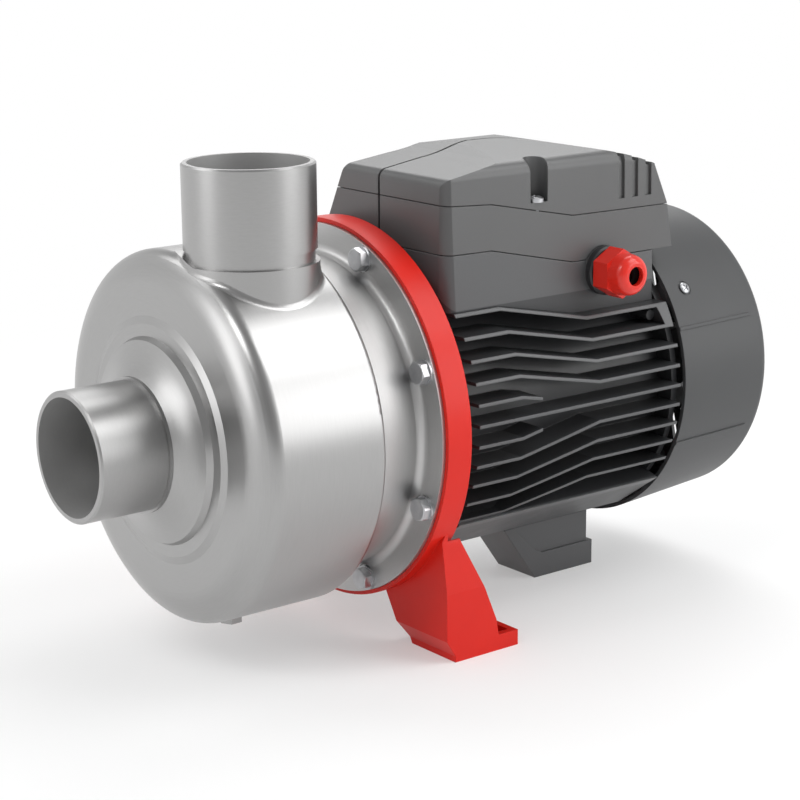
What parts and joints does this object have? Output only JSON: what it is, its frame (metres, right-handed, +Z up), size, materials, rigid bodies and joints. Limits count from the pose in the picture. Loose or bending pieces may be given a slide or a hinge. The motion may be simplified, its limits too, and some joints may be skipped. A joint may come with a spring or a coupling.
{
  "type": "centrifugal pump",
  "caption": "Close-coupled centrifugal pump with a pressed steel casing, plain pipe stubs, a footed red bracket ring, a finned electric motor, a terminal box and a cable gland.",
  "frame": {"origin": "on the floor, midway between the two bolt holes of the bracket's feet, under the shaft", "axes": "+X along the shaft towards the fan cover, -X out of the suction stub, +Z up through the discharge stub, -Y out of the cable gland"},
  "size_m": [0.369, 0.1842, 0.2363],
  "materials": {
    "stainless": "bright pressed stainless steel",
    "rubber": "black rubber",
    "steel": "zinc-plated steel",
    "red_paint": "glossy red paint on cast iron",
    "seal_ceramic": "ceramic seal face",
    "seal_carbon": "carbon seal face",
    "lamination": "stacked steel laminations",
    "copper": "varnished copper wire",
    "end_ring": "die-cast aluminium",
    "grey_paint": "satin dark grey paint on cast aluminium",
    "black_plastic": "matt black plastic",
    "grey_plastic": "satin dark grey plastic",
    "board": "brown phenolic board",
    "brass": "turned brass",
    "white_plastic": "off-white plastic",
    "red_plastic": "glossy red plastic"
  },
  "bodies": {
    "pump": {"pump_casing": "stainless", "casing_flange": "stainless", "suction_pipe": "stainless", "discharge_pipe": "stainless", "casing_gasket": "rubber", "seal_plate": "stainless", "flange_bolts": "steel", "flange_washers": "steel", "drain_washer": "rubber", "motor_bracket": "red_paint", "bracket_screws": "steel", "front_bearing_outer": "steel", "rear_bearing_outer": "steel", "seal_seat": "seal_ceramic", "stator_core": "lamination", "stator_windings": "copper", "motor_housing": "grey_paint", "rear_end_shield": "grey_paint", "shield_screws": "steel", "wave_washer": "steel", "fan_cover": "grey_plastic", "fan_cover_screws": "steel", "motor_foot": "grey_paint", "foot_screws": "steel", "terminal_box_base": "grey_paint", "terminal_box": "grey_plastic", "terminal_box_cover": "grey_plastic", "base_gasket": "rubber", "cover_gasket": "rubber", "terminal_cover_screws": "steel", "terminal_board": "board", "terminal_studs": "brass", "capacitor": "white_plastic", "capacitor_cradle": "black_plastic", "earth_screw": "brass", "gland_body": "black_plastic", "gland_locknut": "black_plastic", "gland_seal": "rubber"},
    "rotor": {"motor_shaft": "steel", "impeller": "stainless", "impeller_nut": "steel", "impeller_washer": "steel", "impeller_key": "steel", "seal_head": "seal_carbon", "seal_bellows": "rubber", "water_slinger": "rubber", "rotor_core": "lamination", "rotor_end_rings": "end_ring", "front_bearing_inner": "steel", "rear_bearing_inner": "steel", "cooling_fan": "black_plastic", "fan_clip": "steel"},
    "front_balls": {"front_bearing_balls": "steel"},
    "rear_balls": {"rear_bearing_balls": "steel"},
    "cap_nut": {"gland_nut": "red_plastic"},
    "drain": {"drain_plug": "stainless"}
  },
  "joints": [
    {"name": "shaft_spin", "type": "hinge", "parent": "pump", "child": "rotor", "pos_m": [0, 0, 0.109], "axis": [1, 0, 0], "continuous": true},
    {"name": "front_ball_travel", "type": "hinge", "parent": "pump", "child": "front_balls", "pos_m": [0, 0, 0.109], "axis": [1, 0, 0], "continuous": true},
    {"name": "rear_ball_travel", "type": "hinge", "parent": "pump", "child": "rear_balls", "pos_m": [0.1, 0, 0.109], "axis": [1, 0, 0], "continuous": true},
    {"name": "gland_nut_turn", "type": "hinge", "parent": "pump", "child": "cap_nut", "pos_m": [0.091, -0.075, 0.1705], "axis": [0, -1, 0], "continuous": true},
    {"name": "drain_plug_out", "type": "slide", "parent": "pump", "child": "drain", "axis": [0, 0, -1], "range_m": [0, 0.008]}
  ],
  "couplings": [
    {"joint": "front_ball_travel", "follows": "shaft_spin", "ratio": 0.3912},
    {"joint": "rear_ball_travel", "follows": "shaft_spin", "ratio": 0.392}
  ]
}
